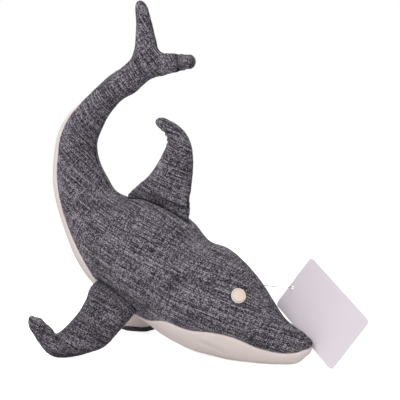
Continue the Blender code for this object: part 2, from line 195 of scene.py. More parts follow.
# Nylon pin: from the seam over the forehead through the tag's hole to its cross bar
PIN_DIAMETER = 0.6
PIN_START = 4.75
PIN_START_GAP = 0.3
PIN_LEAD = 2.5
PIN_SAG = 0.8
PIN_TAIL = 3
PIN_STEPS = 8
PIN_ROUNDNESS = 4
PIN_BAR_LENGTH = 7
PIN_BAR_DIAMETER = 1.1
PIN_BAR_GAP = 0.3

# Cloth thickness, and how deep the filling lies under the skin
CLOTH = 1.2
FILLING_DEPTH = 3.4

# How finely the skin is drawn
SKIN_VOXEL = 1.25
FILLING_VOXEL = 4
RINGS_PER_SECTION = 10
AROUND = 96
FIN_COLUMNS = 60
CAP_RINGS = 8
FLAT_STEPS = 40
WELD = 0.005

# The skin is smoothed a little, and more where the lower fluke joins
SMOOTH_ROUNDS = 6
JUNCTION_ROUNDS = 60
JUNCTION_REACH = 9
JUNCTION_BLEND = 4
FLUKE_NEAR = 10

# Seams: the cloth dips along them, with puckers
SEAM_GAP = 0.15
SEAM_DEPTH = 1.1
SEAM_WIDTH = 0.9
SEAM_SOFT_DEPTH = 0.45
SEAM_SOFT_WIDTH = 4
SEAM_LOOP = 0.9
SEAM_RAGGED = (0.35, 2.5, 9)
SEAM_LIFT_REACH = (2, 5)
PUCKER_DEPTH = 0.16
PUCKER_WIDTH = 3.2
PUCKER_LENGTH = 5.3
PUCKER_WAVER = 1.7
PUCKER_WAVER_LENGTH = 9.1

# The flukes have no belly panel: they count as this far from its seam. The seam of the lower fluke
# passes behind its tip, this far off the middle
FLUKE_OFF_BELLY = 60
FLUKE_SEAM_SHIFT = 5

# The dip round the fins' roots: depth and width, then the width of the painted shade along it
ROOT_DIP = 1.8
ROOT_DIP_WIDTH = 2.1
ROOT_PAINTED_SHADE_WIDTH = 1.0
ROOT_STEPS = 5

# Fins: thickness left at the root and where it is full, and how the panels end
DORSAL_PINCH = (0.5, 12)
PECTORAL_PINCH = (0.75, 10)
PANEL_INSIDE = 3
PANEL_GAP_REACH = (1, 2)
TIP_REACH = 0.6

# Creases thin out at both ends, with a low ridge on each side. Reach and place are in widths
CREASE_REACH = 4
CREASE_END = 0.12
CREASE_TAPER = 0.7
RIDGE_PLACE = 2.4
RIDGE_HEIGHT = 0.3
LEFT_BODY_CREASES = 0.8
LEFT_FIN_CREASES = 0.7

# A crease's points may lie this far off the skin, and at least this far apart on it
CREASE_OFF_SKIN = 4
CREASE_STEP = 0.5

# How wide and how dark the painted shade at the bottom of a crease or seam is. The last number sets how
# dark all painted shade gets
CREASE_PAINTED_SHADE_WIDTH = 0.85
CREASE_PAINTED_SHADE_DEPTH = 1.5
SEAM_PAINTED_SHADE = 0.5
PAINTED_SHADE_STRENGTH = 0.85

# Painted shade on the pectoral fins' grey cloth that faces down near the floor, which fades between
# these heights
PAINTED_FLOOR_SHADE_HEIGHTS = (3, 12)
PAINTED_FLOOR_SHADE_SLOPES = (0.1, 0.7)
PAINTED_FLOOR_SHADE = 0.9

# Painted shade of the body over the pectoral fins' grey roots, which fades between these places
PAINTED_BODY_SHADE_PLACES = (2, 7)
PAINTED_BODY_SHADE = 0.33

# Soft wrinkles: depth, size and seed of each layer
BODY_WRINKLES = ((0.35, 26, 3), (0.12, 8, 4))
FIN_WRINKLES = ((0.3, 22, 5), (0.15, 8, 6))
NOISE_STEPS = (7.3, 3.1, 5.7)

# Where the fins' seams sit, as degrees from the leading and the trailing edge at these places
SEAM_PLACES = (0, 2, 3, 4, 5, 6, 8, 11)
SEAM_TURNS = {
    "dorsal_fin": ((0,) * 8, (0, 4, 13, 15, 15, 15, 15, 0)),
    "right_pectoral": ((-14, -14, -10, -8, -8, -6, -4, 0), (4, 4, 6, 10, 18, 26, 26, 10)),
    "left_pectoral": ((18, 26, 38, 62, 86, 66, 24, 0), (-4, -4, -6, -10, -18, -26, -26, -10)),
}

# Creases: points (x, y, z), depth and width. The left side has them too, but not at the fluke's tip
TIP_CREASE = [
    (((-1, -1, 279), (0.4, -6.5, 275), (1.4, -8.1, 271), (1.5, -7.4, 267), (0.6, -2, 262.5)), 4.5, 1.9),
]
BODY_CREASES = [
    (((-82, -28, 130), (-77, -26, 135), (-73, -20, 141)), 0.7, 1.3),
    (((35, -34, 22), (45, -31, 17), (57, -26, 12)), 0.4, 2.5),
]
DORSAL_CREASES = [
    (((-12, -1, 208.5), (-7, -8, 207), (-1, -8.5, 204)), 1.9, 1.3),
    (((-11, -1, 203.5), (-4, -9, 201.5), (2, -9, 197.5)), 2.0, 1.4),
    (((-11, -1, 199), (-5, -9, 196), (0.5, -10, 192)), 1.6, 1.3),
    (((10.5, -1, 150), (9.6, -2.5, 141), (9, -2, 133)), 1.5, 1.5),
    (((-32, -9.5, 152.5), (-17, -12, 149), (-5, -9, 143), (6, -5, 136.5)), 1.0, 1.5),
    (((-20, -11, 161), (-7, -12, 157), (4.5, -8, 150)), 0.7, 1.5),
    (((-8.5, -10, 182), (1.5, -10.7, 181), (10, -7, 176)), 0.4, 1.5),
]
PECTORAL_CREASES = [
    (((-70, -41.5, 59.5), (-59, -46, 56.5), (-47.5, -46, 51)), 0.8, 1.8),
    (((-71, -54.5, 43.5), (-58.5, -56.5, 40), (-48, -54, 33)), 0.5, 2),
    (((-101.5, -62, 26), (-95.5, -65.5, 20), (-88, -68, 13)), 0.8, 1.8),
]

# How the weave turns with the tail: the share of each bend that is cut into the panel
PANEL_TURN = 0.72

# Weave: thread direction in the side view, in degrees, and thread spacing
GRAIN_BODY = -13
GRAIN_DORSAL = -22
GRAIN_PECTORAL = -27
HEATHER_PITCH = 0.8
HEATHER_WAVER = 0.35
PLAIN_WAVER = 0.5
WEAVE_DRIFT = 90.0
THREAD_ROUNDNESS = 0.6
THREAD_BEND = 0.45

# Heather yarn: for both thread directions the seed, dabs and streaks per thread, then the strength
# of each sort of fleck, the colours from dark to light, and the light on low and high threads,
# which paints shade between them
YARN = ((3.0, 0.8, 0.05), (47.0, 0.5, 0.035))
DAB_STAGGER = 0.37
STREAK_STAGGER = 3.71
DAB_STRENGTH = 0.97
STREAK_STRENGTHS = (0.65, 1.25)
SPECKS = ((1500.0, 0.0, 0.4), (60.0, 2.0, 0.1))
YARN_COLORS = (
    (0.0, (22, 19, 25)),
    (0.35, (74, 67, 77)),
    (0.65, (108, 100, 111)),
    (1.0, (190, 183, 194)),
)
YARN_PAINTED_THREAD_LIGHT = (0.53, 0.96)
YARN_BUMP = 0.3

# Plain weave: the scale, detail and strength of its patches, its light on low and high threads,
# which paints shade between them, its bump, and the share of painted shade it takes from creases
# and seams
PLAIN_PATCHES = (70.0, 3.0, 0.08)
PLAIN_PAINTED_THREAD_LIGHT = (0.9, 1.02)
PLAIN_BUMP = 0.12
PLAIN_PAINTED_SHADE = 0.5


def unit(vectors):
    return vectors / np.linalg.norm(vectors, axis=-1, keepdims=True)


def smoothstep(value, low, high):
    t = np.clip((value - low) / (high - low), 0, 1)
    return t * t * (3 - 2 * t)


def fading(distance, width):
    """1 at no distance, and close to 0 at twice the width."""
    return np.exp(-((distance / width) ** 2))


def with_ends(rows):
    """The rows, with one more in line before and after them."""
    return np.vstack([2 * rows[0] - rows[1], rows, 2 * rows[-1] - rows[-2]])


def smooth_curve(before, start, end, after, t):
    """The points between start and end, of a smooth curve through all four."""
    return 0.5 * (
        2 * start
        + (end - before) * t
        + (2 * before - 5 * start + 4 * end - after) * t**2
        + (3 * start - before - 3 * end + after) * t**3
    )


class SoftForm:
    """A stuffed form drawn through sections, each two edge points and a half thickness.

    A place along it is counted in sections, and a round end takes up one more place. The angle is
    0 at the belly or leading edge and pi at the back edge, with the right side between them.
    """

    def __init__(self, sections, start_rounding=0, end_rounding=0):
        rows = []
        for back, belly, half_thickness, *belly_angle in sections:
            back = back if len(back) == 3 else (back[0], 0, back[1])
            belly = belly if len(belly) == 3 else (belly[0], 0, belly[1])
            rows.append([*back, *belly, half_thickness, math.radians(sum(belly_angle))])
        self.rows = np.array(rows, float)
        self.last = len(rows) - 1
        self.start_rounding = start_rounding
        self.end_rounding = end_rounding

    def row_at(self, place):
        """Rows at these places, on a smooth curve through every section."""
        inner = np.clip(place, 0, self.last)
        index = np.minimum(inner.astype(int), self.last - 1)
        rows = with_ends(self.rows)
        return smooth_curve(*(rows[index + k] for k in range(4)), (inner - index)[..., None])

    def belly_angle(self, place):
        return np.maximum(self.row_at(place)[..., 7], 0)

    def frame(self, place):
        """Middle, half chord towards the back edge, sideways, half thickness and along."""
        place = np.asarray(place, float)
        inner = np.clip(place, 0, self.last)
        row = self.row_at(inner)
        step = 0.01
        low = self.row_at(np.maximum(inner - step, 0))
        high = self.row_at(np.minimum(inner + step, self.last))
        along = unit((high - low)[..., :3] + (high - low)[..., 3:6])
        chord = (row[..., :3] - row[..., 3:6]) / 2
        sideways = unit(np.cross(chord, along))
        past = place - inner
        rounding = np.where(past < 0, self.start_rounding, self.end_rounding)
        shrink = np.sqrt(np.maximum(1 - past**2, 0))
        middle = (row[..., :3] + row[..., 3:6]) / 2 + along * (rounding * past)[..., None]
        return middle, chord * shrink[..., None], sideways, row[..., 6] * shrink, along

    def skin(self, place, angle):
        place, angle = np.broadcast_arrays(np.asarray(place, float), angle)
        middle, chord, sideways, half, _ = self.frame(place)
        spot = middle - chord * np.cos(angle)[..., None]
        spot = spot + sideways * (half * np.sin(angle))[..., None]
        spot[..., 2] = np.maximum(spot[..., 2], 0)
        return spot

    def normal(self, place, angle, step=0.004, limit=0.97):
        """Outward normal of the skin."""
        inside = np.clip(place, -limit, self.last + limit)
        round_it = self.skin(inside, angle + step) - self.skin(inside, angle - step)
        along_it = self.skin(inside + step, angle) - self.skin(inside - step, angle)
        return unit(np.cross(round_it, along_it))

    def places(self):
        """Places for fine rings, with both round ends closed to a point."""
        inner = np.linspace(0, self.last, self.last * RINGS_PER_SECTION + 1)
        cap = np.sin(np.linspace(0, math.pi / 2, CAP_RINGS + 1)[1:])
        start = -cap[::-1] if self.start_rounding else cap[:0]
        end = self.last + cap if self.end_rounding else cap[:0]
        return np.concatenate([start, inner, end])

    def around_length(self, place, start, angle):
        """Length over the skin between two angles of one ring, signed."""
        _, chord, _, half, _ = self.frame(place)
        reach = np.linalg.norm(chord, axis=-1)
        total = 0
        steps = 12
        for k in range(steps):
            t = start + (angle - start) * (k + 0.5) / steps
            total = total + np.hypot(reach * np.sin(t), half * np.cos(t))
        return total * (angle - start) / steps

    def lay_flat(self, turn_share=np.ones_like, origin=None, heading=None):
        """Lays the middle line out flat, as the panel was cut: place, x, y, heading and length."""
        first = -1 if self.start_rounding else 0
        places = np.linspace(first, self.last + 1, FLAT_STEPS * self.last)
        middle, _, sideways, _, _ = self.frame(places)
        step = np.diff(middle, axis=0)
        length = np.maximum(np.linalg.norm(step, axis=1), TINY)
        along = step / length[:, None]
        across = np.cross(along[:-1], along[1:])
        turn = np.arcsin(np.clip((across * sideways[1:-1]).sum(1), -1, 1))
        turn = turn * turn_share(places[1:-1])
        if heading is None:
            heading = math.atan2(along[0, 2], along[0, 0])
        if origin is None:
            origin = (middle[0, 0], middle[0, 2])
        headings = heading + np.concatenate([[0], np.cumsum(turn)])
        moves = np.stack([np.cos(headings), np.sin(headings)], 1) * length[:, None]
        spots = np.vstack([origin, origin + np.cumsum(moves, 0)])
        headings = np.append(headings, headings[-1])
        lengths = np.append(0, np.cumsum(length))
        self.flat = np.column_stack([places, spots, headings, lengths])

    def flat_at(self, place):
        """The middle line on the flat cloth at these places: x, y, heading and length."""
        return [np.interp(place, self.flat[:, 0], column) for column in self.flat[:, 1:].T]

    def cloth(self, place, angle, turn=0):
        """Where a point of a side panel lies on the flat cloth, in millimetres."""
        x, y, heading, _ = self.flat_at(place)
        _, chord, _, _, along = self.frame(place)
        reach = np.maximum(np.linalg.norm(chord, axis=-1), TINY)
        lean = (chord * along).sum(-1) / reach
        rise = np.sqrt(1 - np.clip(lean, -1, 1) ** 2)
        across = self.around_length(place, math.pi / 2, np.abs(angle))
        cos, sin = np.cos(heading), np.sin(heading)
        x = x + across * (lean * cos + rise * sin)
        y = y + across * (lean * sin - rise * cos)
        cos, sin = math.cos(math.radians(turn)), math.sin(math.radians(turn))
        return np.stack([x * cos + y * sin, y * cos - x * sin], -1)

    def end_on(self, points):
        """Where points of the round end lie on the cloth, seen along the form's middle line."""
        middle, chord, sideways, _, _ = (values[0] for values in self.frame([self.last]))
        return (points - middle) @ np.stack([sideways, unit(chord)], 1)


class FormGrid:
    """A fine grid of a form's skin, which gives the place and angle nearest to any point."""

    def __init__(self, form):
        self.form = form
        self.places = form.places()
        self.angles = np.arange(AROUND) * 2 * math.pi / AROUND
        self.points = form.skin(self.places[:, None], self.angles[None])
        self.faces = grid_faces(len(self.places), AROUND, closed=True)
        flat = self.points.reshape(-1, 3)
        self.tree = BVHTree.FromPolygons(flat.tolist(), self.faces)

    def locate(self, points):
        """Place, angle (right side positive) and distance outside the skin, for each point."""
        hits = [self.tree.find_nearest(spot) for spot in points.tolist()]
        spot = np.array([hit[0] for hit in hits])
        outward = np.array([hit[1] for hit in hits])
        i, j = np.divmod(np.array([hit[2] for hit in hits]), AROUND)
        corner = self.points[i, j]
        along = self.points[i + 1, j] - corner
        across = self.points[i, (j + 1) % AROUND] - corner
        aa, cc, ac = (along**2).sum(1), (across**2).sum(1), (along * across).sum(1)
        sa, sc = ((spot - corner) * along).sum(1), ((spot - corner) * across).sum(1)
        area = np.maximum(aa * cc - ac**2, TINY_AREA)
        s = np.clip((sa * cc - sc * ac) / area, 0, 1)
        t = np.clip((sc * aa - sa * ac) / area, 0, 1)
        place = self.places[i] + s * (self.places[i + 1] - self.places[i])
        angle = (j + t) * 2 * math.pi / AROUND
        angle = np.where(angle > math.pi, angle - 2 * math.pi, angle)
        outside = ((points - spot) * outward).sum(1)
        return place, angle, outside


def grid_faces(rows, columns, closed):
    faces = []
    for i in range(rows - 1):
        for j in range(columns if closed else columns - 1):
            n = (j + 1) % columns
            low, high = i * columns, (i + 1) * columns
            faces.append((low + j, low + n, high + n, high + j))
    return faces


def left_fin(sections):
    """The right fin's sections on the other side, swung forward about the fin's root.

    The leading edge also reaches further forward and down near the root.
    """
    swing = math.radians(LEFT_FIN_SWING)
    cos, sin = math.cos(swing), math.sin(swing)
    root_x, root_z = PECTORAL_FIN_ROOT
    forward, up = LEFT_FIN_LEADING_SHIFT
    full_row, last_row = LEFT_FIN_SHIFT_ROWS
    fin = []
    for row, (*edges, half_thickness) in enumerate(sections):
        share = min(max((last_row - row) / (last_row - full_row), 0), 1)
        made = []
        for (x, y, z), moved in zip(edges, (0, share)):
            x, z = x - root_x, z - root_z
            new_x = root_x + x * cos - z * sin + forward * moved
            made.append((new_x, -y, root_z + x * sin + z * cos + up * moved))
        fin.append((*made, half_thickness))
    return fin


# Folds and seams

def wrinkles(points, *layers):
    """Smooth bumps over the points, in layers of depth, size and seed."""
    height = np.zeros(len(points))
    for depth, size, seed in layers:
        shift = Vector([seed * step for step in NOISE_STEPS])
        bumps = [noise.noise(Vector(spot) / size + shift) for spot in points.tolist()]
        height += depth * np.array(bumps)
    return height


def crease_dip(points, creases, left_share=1):
    """How far the cloth sinks into these creases, and the painted shade at their bottoms.

    The left side has a share of the right side's depth.
    """
    dip, dark = np.zeros(len(points)), np.zeros(len(points))
    for spots, share in ((points, 1), (points * [1, -1, 1], left_share)):
        for line, depth, width in creases:
            line = line_on_skin(line, spots)
            if len(line) < 2:
                continue
            middle = (line.min(0) + line.max(0)) / 2
            reach = np.ptp(line, axis=0) / 2 + CREASE_REACH * width
            near = (np.abs(spots - middle) < reach).all(1)
            gap, along = distance_to_line(spots[near], line)
            along = CREASE_END + (1 - 2 * CREASE_END) * along
            taper = share * np.sin(math.pi * along) ** CREASE_TAPER
            ridge = RIDGE_HEIGHT * fading(gap - RIDGE_PLACE * width, width)
            dip[near] += depth * taper * (fading(gap, width) - ridge)
            # Painted shade along the bottom of the crease
            shade = min(depth / CREASE_PAINTED_SHADE_DEPTH, 1) * taper
            shade = shade * fading(gap, CREASE_PAINTED_SHADE_WIDTH * width)
            dark[near] = np.maximum(dark[near], shade)
    return dip, dark


def line_on_skin(line, spots):
    """The points of the skin that are nearest to this line's, and none where it is on another skin."""
    gaps = np.linalg.norm(spots[None] - np.array(line, float)[:, None], axis=2)
    if gaps.min(1).max() > CREASE_OFF_SKIN:
        return spots[:0]
    line = spots[gaps.argmin(1)]
    apart = np.linalg.norm(np.diff(line, axis=0), axis=1) > CREASE_STEP
    return line[np.append(True, apart)]


def distance_to_line(spots, line):
    """Distance from each spot to the line, and how far along it the nearest place is, 0 to 1."""
    steps = np.diff(line, axis=0)
    lengths = np.concatenate([[0], np.cumsum(np.linalg.norm(steps, axis=1))])
    gaps, alongs = [], []
    for k, step in enumerate(steps):
        t = np.clip((spots - line[k]) @ step / (step @ step), 0, 1)
        gaps.append(np.linalg.norm(spots - line[k] - t[:, None] * step, axis=1))
        alongs.append((lengths[k] + t * np.linalg.norm(step)) / lengths[-1])
    nearest = np.argmin(gaps, axis=0)
    return np.choose(nearest, gaps), np.choose(nearest, alongs)


def seam_dip(distance, along, seed):
    """How far the cloth sinks at this distance from a seam, with the puckers along it."""
    dip = SEAM_DEPTH * fading(distance, SEAM_WIDTH)
    dip += SEAM_SOFT_DEPTH * np.exp(-distance / SEAM_SOFT_WIDTH)
    waver = PUCKER_WAVER * np.sin(along / PUCKER_WAVER_LENGTH + seed)
    pucker = PUCKER_DEPTH * np.sin(2 * math.pi * along / PUCKER_LENGTH + waver)
    return dip + pucker * np.exp(-distance / PUCKER_WIDTH) * (1 - np.exp(-distance))


# Painted shade along the bottom of a seam's dip
def seam_painted_shade(distance):
    return SEAM_PAINTED_SHADE * fading(distance, SEAM_WIDTH)


def root_dip(points, fin_roots):
    """How far the skin sinks where the fins are sewn on, and the painted shade there."""
    dip, dark = np.zeros(len(points)), np.zeros(len(points))
    reach = CREASE_REACH * ROOT_DIP_WIDTH
    for root in fin_roots:
        tree = KDTree(len(root))
        for k, spot in enumerate(root.tolist()):
            tree.insert(spot, k)
        tree.balance()
        near = ((points > root.min(0) - reach) & (points < root.max(0) + reach)).all(1)
        distance = np.array([tree.find(spot)[2] for spot in points[near].tolist()])
        dip[near] = np.maximum(dip[near], ROOT_DIP * fading(distance, ROOT_DIP_WIDTH))
        dark[near] = np.maximum(dark[near], fading(distance, ROOT_PAINTED_SHADE_WIDTH))
    return dip, dark


# Meshes

def add_object(name, data):
    obj = bpy.data.objects.new(name, data)
    bpy.context.scene.collection.objects.link(obj)
    return obj


def union_mesh(grids, depth, voxel):
    """One closed surface round these forms, this far under their skin: points and triangles."""
    points, faces = [], []
    for grid in grids:
        skin = grid.points
        if depth:
            skin = skin - grid.form.normal(grid.places[:, None], grid.angles[None]) * depth
        start = sum(len(block) for block in points)
        points.append(skin.reshape(-1, 3))
        faces += [[start + k for k in face] for face in grid.faces]
        faces.append(range(start, start + AROUND))
        faces.append(range(start + len(points[-1]) - 1, start + len(points[-1]) - AROUND - 1, -1))
    mesh = bpy.data.meshes.new("union")
    mesh.from_pydata((np.vstack(points) * MM).tolist(), [], faces)
    obj = add_object("union", mesh)
    remesh = obj.modifiers.new("remesh", "REMESH")
    remesh.mode = "VOXEL"
    remesh.voxel_size = voxel * MM
    made = obj.evaluated_get(bpy.context.evaluated_depsgraph_get()).to_mesh()
    made.calc_loop_triangles()
    spots = np.empty(len(made.vertices) * 3, np.float32)
    made.vertices.foreach_get("co", spots)
    triangles = np.empty(len(made.loop_triangles) * 3, np.int32)
    made.loop_triangles.foreach_get("vertices", triangles)
    bpy.data.objects.remove(obj)
    return spots.reshape(-1, 3).astype(float) / MM, triangles.reshape(-1, 3)


def relax(points, triangles, weight, rounds):
    """Moves each point towards the middle of its neighbours, by its weight."""
    edges = np.vstack([triangles[:, [0, 1]], triangles[:, [1, 2]], triangles[:, [2, 0]]])
    edges = np.unique(np.sort(edges, axis=1), axis=0)
    both = np.vstack([edges, edges[:, ::-1]])
    count = np.bincount(both[:, 0], minlength=len(points))[:, None]
    for _ in range(rounds):
        total = np.stack(
            [np.bincount(both[:, 0], points[both[:, 1], k], len(points)) for k in range(3)], 1
        )
        points = points + weight[:, None] * (total / count - points) / 2
    return points


def vertex_normals(points, triangles):
    a, b, c = (points[triangles[:, k]] for k in range(3))
    face = np.cross(b - a, c - a)
    total = np.zeros_like(points)
    np.add.at(total, triangles, face[:, None])
    return unit(total)


def split_at_zero(rows, triangles, value):
    """Adds points where the value changes sign, so that the line of zero runs along mesh edges."""
    positive = value >= 0
    count = positive[triangles].sum(1)
    mixed = (count > 0) & (count < 3)
    made, new_rows, new_triangles = {}, [], []

    def cut(a, b):
        key = (min(a, b), max(a, b))
        if key not in made:
            t = value[a] / (value[a] - value[b])
            made[key] = len(rows) + len(new_rows)
            new_rows.append(rows[a] + (rows[b] - rows[a]) * t)
        return made[key]

    for triangle, positives in zip(triangles[mixed].tolist(), count[mixed]):
        lone = [k for k in range(3) if positive[triangle[k]] == (positives == 1)][0]
        a, b, c = (triangle[(lone + k) % 3] for k in range(3))
        ab, ac = cut(a, b), cut(a, c)
        new_triangles += [(a, ab, ac), (ab, b, c), (ab, c, ac)]
    if not new_rows:
        return rows, triangles
    return np.vstack([rows, new_rows]), np.vstack([triangles[~mixed], new_triangles])


def piece_mesh(name, points, faces, cloth=None, dark=None):
    """A mesh object of these points, with their places on the flat cloth and their painted shade.

    Pieces with painted shade are cloth panels, which get their thickness here.
    """
    mesh = bpy.data.meshes.new(name)
    mesh.from_pydata((points * MM).tolist(), [], [list(face) for face in faces])
    if cloth is not None:
        layer = mesh.attributes.new("cloth", "FLOAT_VECTOR", "POINT")
        spots = np.column_stack([cloth, np.zeros(len(cloth))]) * MM
        layer.data.foreach_set("vector", spots.astype(np.float32).ravel())
    # The painted shade of creases, seams and fin roots, which the cloth materials read
    if dark is not None:
        layer = mesh.attributes.new("dark", "FLOAT", "POINT")
        layer.data.foreach_set("value", dark.astype(np.float32))
    bm = bmesh.new()
    bm.from_mesh(mesh)
    bmesh.ops.remove_doubles(bm, verts=bm.verts, dist=WELD * MM)
    loose = [vert for vert in bm.verts if not vert.link_faces]
    bmesh.ops.delete(bm, geom=loose, context="VERTS")
    bmesh.ops.recalc_face_normals(bm, faces=bm.faces)
    bm.to_mesh(mesh)
    bm.free()
    mesh.shade_smooth()
    obj = add_object(name, mesh)
    if dark is not None:
        solid = obj.modifiers.new("cloth thickness", "SOLIDIFY")
        solid.thickness = CLOTH * MM
        solid.offset = -1
    return obj


def finish_piece(obj, slot, node):
    """Gives a piece its material and body, and hides the CAD node it stands for."""
    obj.data.materials.append(MATERIALS[slot])
    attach(obj, "root")
    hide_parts(node)


# Body: the columns of its rows

X, Y, Z, NX, NY, NZ, CU, CV, BELLY, SIDE, BU, BV, ALONG = range(13)


def body_rows(body_grid, fluke_grid):
    """The whole skin as rows of place, normal, cloth and distances to the seams."""
    body, fluke = body_grid.form, fluke_grid.form
    points, triangles = union_mesh([body_grid, fluke_grid], 0, SKIN_VOXEL)
    points = relax(points, triangles, np.ones(len(points)), SMOOTH_ROUNDS)
    near_fluke = points[:, 2] > body.rows[FLUKE_START, 2] - FLUKE_NEAR
    body_gap, fluke_gap = np.full((2, len(points)), FAR)
    body_gap[near_fluke] = np.abs(body_grid.locate(points[near_fluke])[2])
    fluke_gap[near_fluke] = np.abs(fluke_grid.locate(points[near_fluke])[2])
    gap = np.maximum(body_gap, fluke_gap)
    weight = 1 - smoothstep(gap, JUNCTION_REACH / 2, JUNCTION_REACH)
    points = relax(points, triangles, weight, JUNCTION_ROUNDS)

    place, angle, body_gap = body_grid.locate(points)
    other_place, other_angle, fluke_gap = fluke_grid.locate(points)
    gap = np.abs(body_gap) - np.abs(fluke_gap)
    share = smoothstep(gap, -JUNCTION_BLEND, JUNCTION_BLEND)
    share = np.where(place < FLUKE_START - 1, 0, share)
    cloth = body.cloth(place, angle) * (1 - share[:, None])
    cloth += fluke.cloth(other_place, other_angle) * share[:, None]
    on_cap = (other_place > fluke.last) & (share > 0)
    cloth[on_cap] = fluke.end_on(points[on_cap])
    belly = body.around_length(place, body.belly_angle(place), np.abs(angle))
    belly += FLUKE_OFF_BELLY * share + wrinkles(points, SEAM_RAGGED)
    side = body.frame(place)[3] * np.sin(angle) * (1 - share)
    fluke_side = fluke.frame(other_place)[3] * np.sin(other_angle)
    fluke_end = smoothstep(other_place, fluke.last - 1, fluke.last)
    side += (fluke_side + FLUKE_SEAM_SHIFT * fluke_end) * share
    along = body.flat_at(place)[3]
    gusset = np.column_stack([along, body.around_length(place, 0, angle)])
    normals = vertex_normals(points, triangles)
    return np.column_stack([points, normals, cloth, belly, side, gusset, along]), triangles


def build_body(body_grid, fluke_grid, fin_roots):
    """Two side panels and the belly panel, cut from one skin along its seams, and a filling."""
    rows, triangles = body_rows(body_grid, fluke_grid)
    for column in (BELLY, SIDE):
        for level in (SEAM_GAP, -SEAM_GAP, SEAM_LOOP, -SEAM_LOOP):
            value = rows[:, column] - level
            if column == SIDE:
                value = np.where(rows[:, BELLY] > -SEAM_GAP, value, 1)
            rows, triangles = split_at_zero(rows, triangles, value)
    points, normals = rows[:, X:Z + 1], unit(rows[:, NX:NZ + 1])
    to_belly, to_side = np.abs(rows[:, BELLY]), np.abs(rows[:, SIDE])
    on_side = rows[:, BELLY] > 0
    dip = seam_dip(to_belly, rows[:, ALONG], 1)
    back = seam_dip(to_side, rows[:, CU], 2)
    dip = np.where(on_side, np.maximum(dip, back), dip)
    # Painted shade along the side panels' seams
    dark = seam_painted_shade(np.where(on_side, np.minimum(to_belly, to_side), FAR))
    # Dips and painted shade of the fin roots and the creases
    for more_dip, more_painted_shade in (
        root_dip(points, fin_roots),
        crease_dip(points, BODY_CREASES, LEFT_BODY_CREASES),
        crease_dip(points, TIP_CREASE, 0),
    ):
        dip += more_dip
        dark = np.maximum(dark, more_painted_shade)
    to_eye = np.hypot(points[:, 0] - EYE_AT[0], points[:, 2] - EYE_AT[1])
    dip += smoothstep(to_eye, *EYE_FLAT_REACH) * wrinkles(points, *BODY_WRINKLES)
    points = points - normals * dip[:, None]
    points[:, 2] = np.maximum(points[:, 2], 0)

    belly = rows[triangles][:, :, BELLY].mean(1)
    side = rows[triangles][:, :, SIDE].mean(1)
    above = belly > SEAM_GAP
    for node, chosen, slot, columns in (
        ("side_panel_right", above & (side > SEAM_GAP), "grey_cloth", (CU, CV)),
        ("side_panel_left", above & (side < -SEAM_GAP), "grey_cloth", (CU, CV)),
        ("belly_panel", belly < -SEAM_GAP, "cream_cloth", (BU, BV)),
    ):
        panel = piece_mesh(node + "_cloth", points, triangles[chosen], rows[:, columns], dark)
        finish_piece(panel, slot, node)
    points, triangles = union_mesh([body_grid, fluke_grid], FILLING_DEPTH, FILLING_VOXEL)
    filling = piece_mesh("body_filling_fibre", points, triangles)
    finish_piece(filling, "filling", "body_filling")


# Fins

def build_fins(body_grid):
    """Returns where the fins' skins meet the body's."""
    dorsal = (DORSAL_FIN_ROUNDING, GRAIN_DORSAL, DORSAL_PINCH, DORSAL_CREASES)
    pectoral = (PECTORAL_FIN_ROUNDING, GRAIN_PECTORAL, PECTORAL_PINCH, PECTORAL_CREASES)
    right, left = PECTORAL_FIN, left_fin(PECTORAL_FIN)
    return [
        build_fin(body_grid, "dorsal_fin", ("right", "left"), DORSAL_FIN, *dorsal),
        build_fin(body_grid, "right_pectoral", ("outer", "inner"), right, *pectoral),
        build_fin(body_grid, "left_pectoral", ("inner", "outer"), left, *pectoral),
    ]


